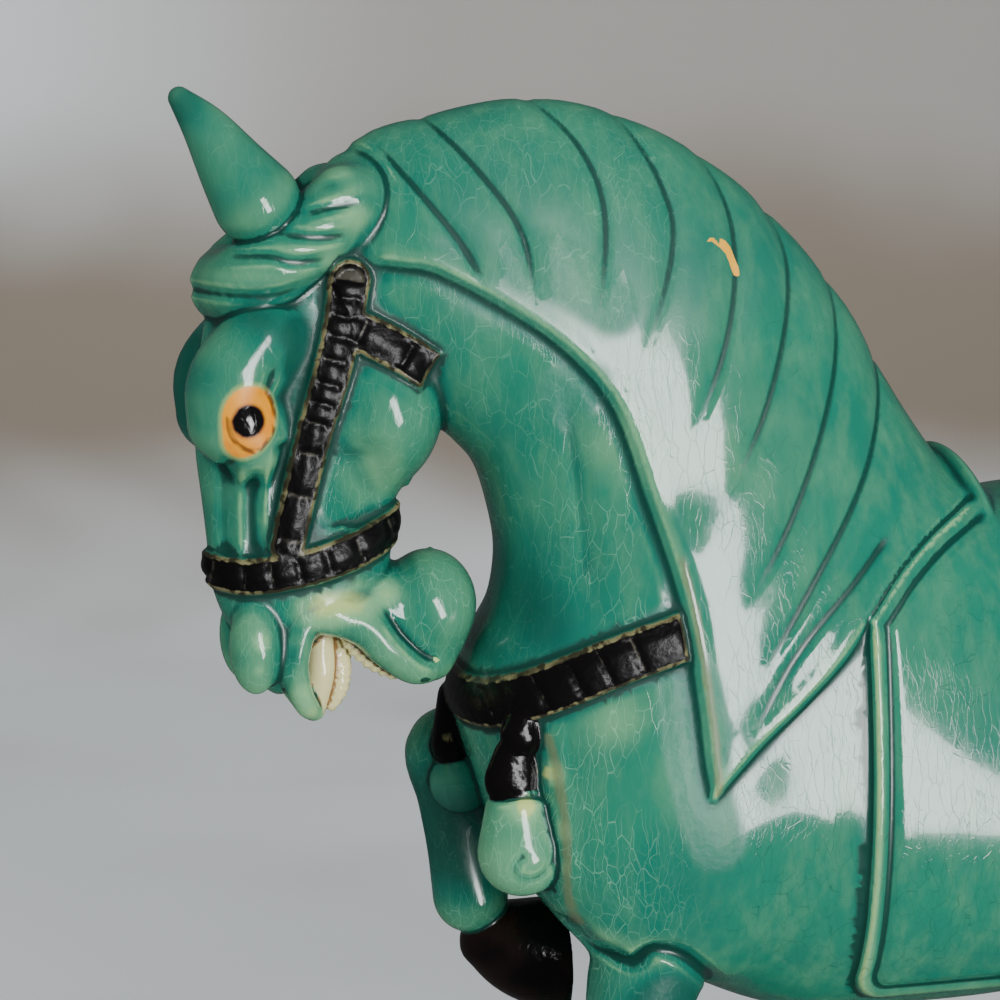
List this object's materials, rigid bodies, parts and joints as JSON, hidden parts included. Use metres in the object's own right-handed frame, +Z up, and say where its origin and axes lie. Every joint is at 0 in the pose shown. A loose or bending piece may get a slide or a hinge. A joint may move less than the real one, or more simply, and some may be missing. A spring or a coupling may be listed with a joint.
{
  "type": "ceramic horse figurine",
  "caption": "Glazed ceramic prancing horse with arched neck, black segmented harness and one raised foreleg, cast in one with a low slab base.",
  "frame": {"origin": "middle of the slab base's underside, under the middle of the whole figure's box", "axes": "+Z up, the horse faces -X, its left side is -Y"},
  "size_m": [0.3838, 0.1032, 0.3949],
  "materials": {
    "green_glaze": "glossy green crackle glaze, black harness and hooves"
  },
  "bodies": {
    "root": {"horse": "green_glaze"}
  },
  "joints": []
}
